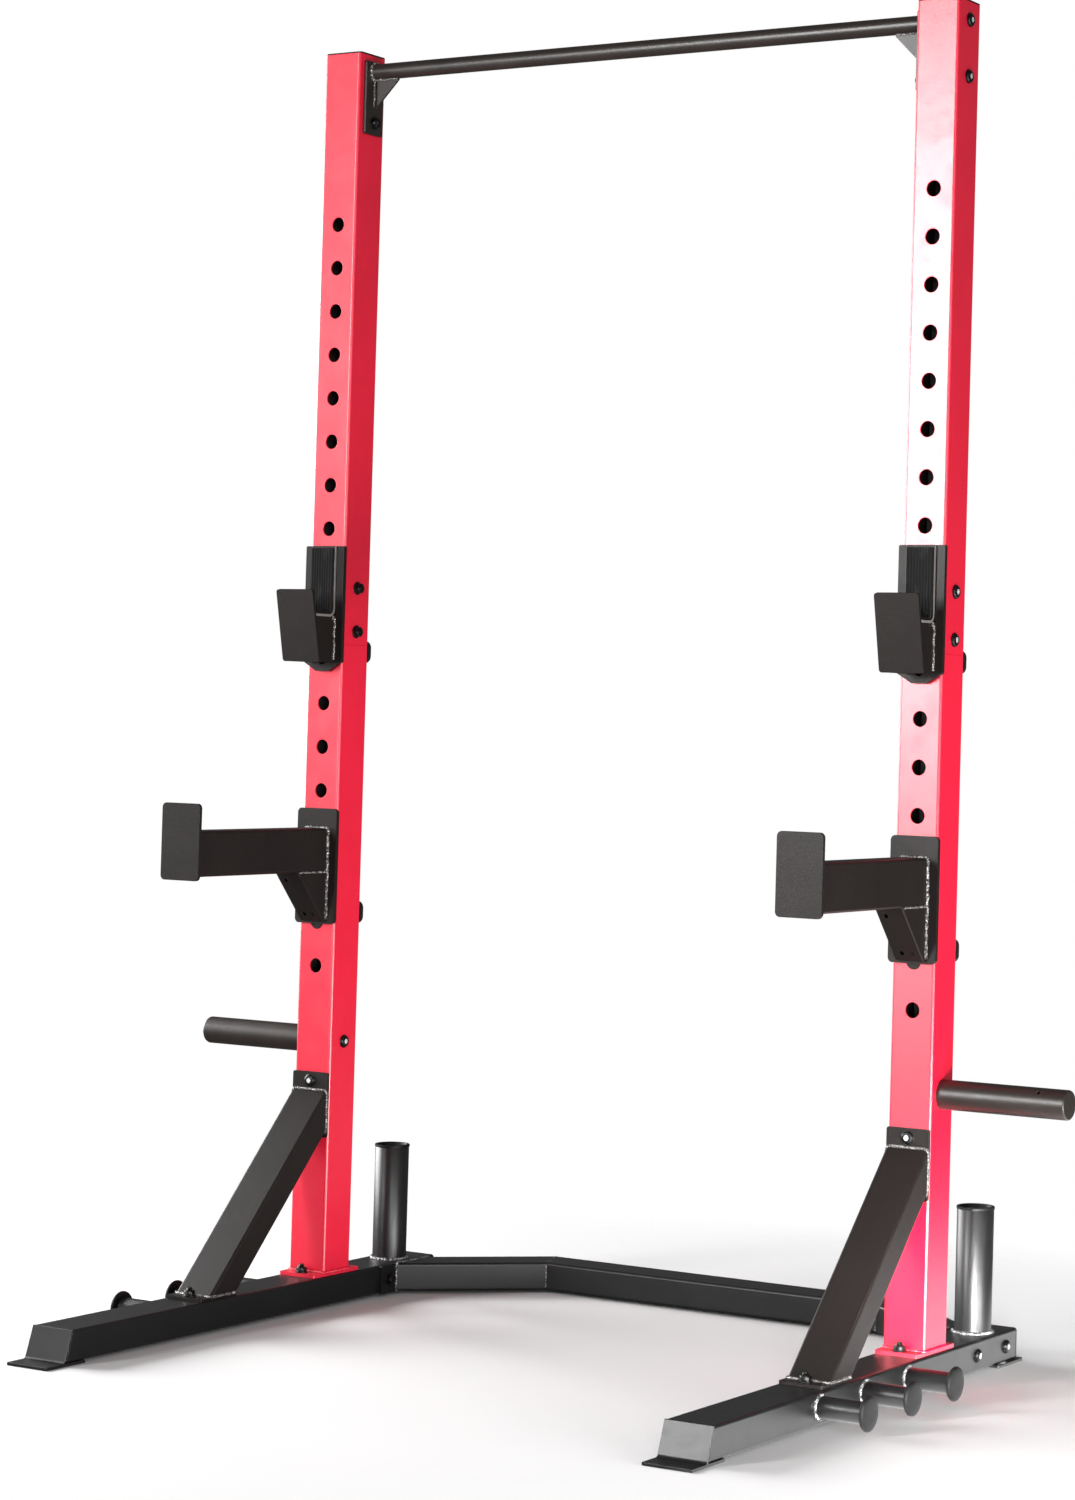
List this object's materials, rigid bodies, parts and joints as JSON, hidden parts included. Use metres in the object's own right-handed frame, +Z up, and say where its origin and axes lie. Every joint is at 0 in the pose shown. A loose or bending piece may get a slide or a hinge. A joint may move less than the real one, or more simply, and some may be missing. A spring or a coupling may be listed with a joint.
{
  "type": "power cage",
  "caption": "Half power rack: square hole-drilled uprights on a bolted three-sided base, pull-up bar, J-hooks, spotter arms, and plate, band and bar storage",
  "frame": {"origin": "on the floor, under the centre of the whole rack's outline", "axes": "+Z up; -Y the open front, where the hooks and spotter arms point; +X towards the rack's right side as the picture shows it"},
  "size_m": [1.685, 1.16, 2.1945],
  "materials": {
    "red_paint": "bright red powder coat, satin",
    "black_paint": "charcoal black powder coat, satin",
    "accessory_paint": "brownish black powder coat, satin",
    "black_plastic": "matte black plastic",
    "rubber": "matte black ribbed rubber",
    "fastener": "dark zinc"
  },
  "bodies": {
    "rack": {"base_rail_left": "black_paint", "base_rail_right": "black_paint", "front_foot_left": "black_paint", "front_foot_right": "black_paint", "rear_foot_left": "black_paint", "rear_foot_right": "black_paint", "rail_end_cap_left": "black_plastic", "rail_end_cap_right": "black_plastic", "band_peg_front_left": "black_paint", "band_peg_front_right": "black_paint", "band_peg_middle_left": "black_paint", "band_peg_middle_right": "black_paint", "band_peg_rear_left": "black_paint", "band_peg_rear_right": "black_paint", "band_peg_cap_front_left": "black_plastic", "band_peg_cap_front_right": "black_plastic", "band_peg_cap_middle_left": "black_plastic", "band_peg_cap_middle_right": "black_plastic", "band_peg_cap_rear_left": "black_plastic", "band_peg_cap_rear_right": "black_plastic", "bar_storage_tube_left": "black_paint", "bar_storage_tube_right": "black_paint", "upright_lower_left": "red_paint", "upright_lower_right": "red_paint", "upright_upper_left": "red_paint", "upright_upper_right": "red_paint", "splice_sleeve_left": "black_paint", "splice_sleeve_right": "black_paint", "upright_cap_left": "black_plastic", "upright_cap_right": "black_plastic", "plate_peg_left": "accessory_paint", "plate_peg_right": "accessory_paint", "diagonal_brace_left": "accessory_paint", "diagonal_brace_right": "accessory_paint", "splice_bolt_upper_left": "fastener", "splice_bolt_upper_right": "fastener", "splice_bolt_lower_left": "fastener", "splice_bolt_lower_right": "fastener", "bar_bolt_upper_left": "fastener", "bar_bolt_upper_right": "fastener", "bar_bolt_lower_left": "fastener", "bar_bolt_lower_right": "fastener", "crossbar_bolt_front_left": "fastener", "crossbar_bolt_front_right": "fastener", "crossbar_bolt_rear_left": "fastener", "crossbar_bolt_rear_right": "fastener", "plate_peg_bolt_left": "fastener", "plate_peg_bolt_right": "fastener", "rear_crossbar": "black_paint", "pull_up_bar": "accessory_paint"},
    "hook_left": {"j_hook_left": "accessory_paint", "j_hook_liner_left": "rubber"},
    "hook_keeper_left": {"j_hook_keeper_left": "accessory_paint"},
    "spotter_left": {"spotter_arm_left": "accessory_paint"},
    "spotter_keeper_body_left": {"spotter_keeper_left": "accessory_paint"},
    "hook_right": {"j_hook_right": "accessory_paint", "j_hook_liner_right": "rubber"},
    "hook_keeper_right": {"j_hook_keeper_right": "accessory_paint"},
    "spotter_right": {"spotter_arm_right": "accessory_paint"},
    "spotter_keeper_body_right": {"spotter_keeper_right": "accessory_paint"}
  },
  "joints": [
    {"name": "hook_pull_off_left", "type": "slide", "parent": "rack", "child": "hook_left", "axis": [0, -1, 0], "range_m": [0, 0.12]},
    {"name": "hook_keeper_pull_off_left", "type": "slide", "parent": "rack", "child": "hook_keeper_left", "axis": [0, 1, 0], "range_m": [0, 0.05]},
    {"name": "spotter_pull_off_left", "type": "slide", "parent": "rack", "child": "spotter_left", "axis": [0, -1, 0], "range_m": [0, 0.12]},
    {"name": "spotter_keeper_pull_off_left", "type": "slide", "parent": "rack", "child": "spotter_keeper_body_left", "axis": [0, 1, 0], "range_m": [0, 0.05]},
    {"name": "hook_pull_off_right", "type": "slide", "parent": "rack", "child": "hook_right", "axis": [0, -1, 0], "range_m": [0, 0.12]},
    {"name": "hook_keeper_pull_off_right", "type": "slide", "parent": "rack", "child": "hook_keeper_right", "axis": [0, 1, 0], "range_m": [0, 0.05]},
    {"name": "spotter_pull_off_right", "type": "slide", "parent": "rack", "child": "spotter_right", "axis": [0, -1, 0], "range_m": [0, 0.12]},
    {"name": "spotter_keeper_pull_off_right", "type": "slide", "parent": "rack", "child": "spotter_keeper_body_right", "axis": [0, 1, 0], "range_m": [0, 0.05]}
  ]
}
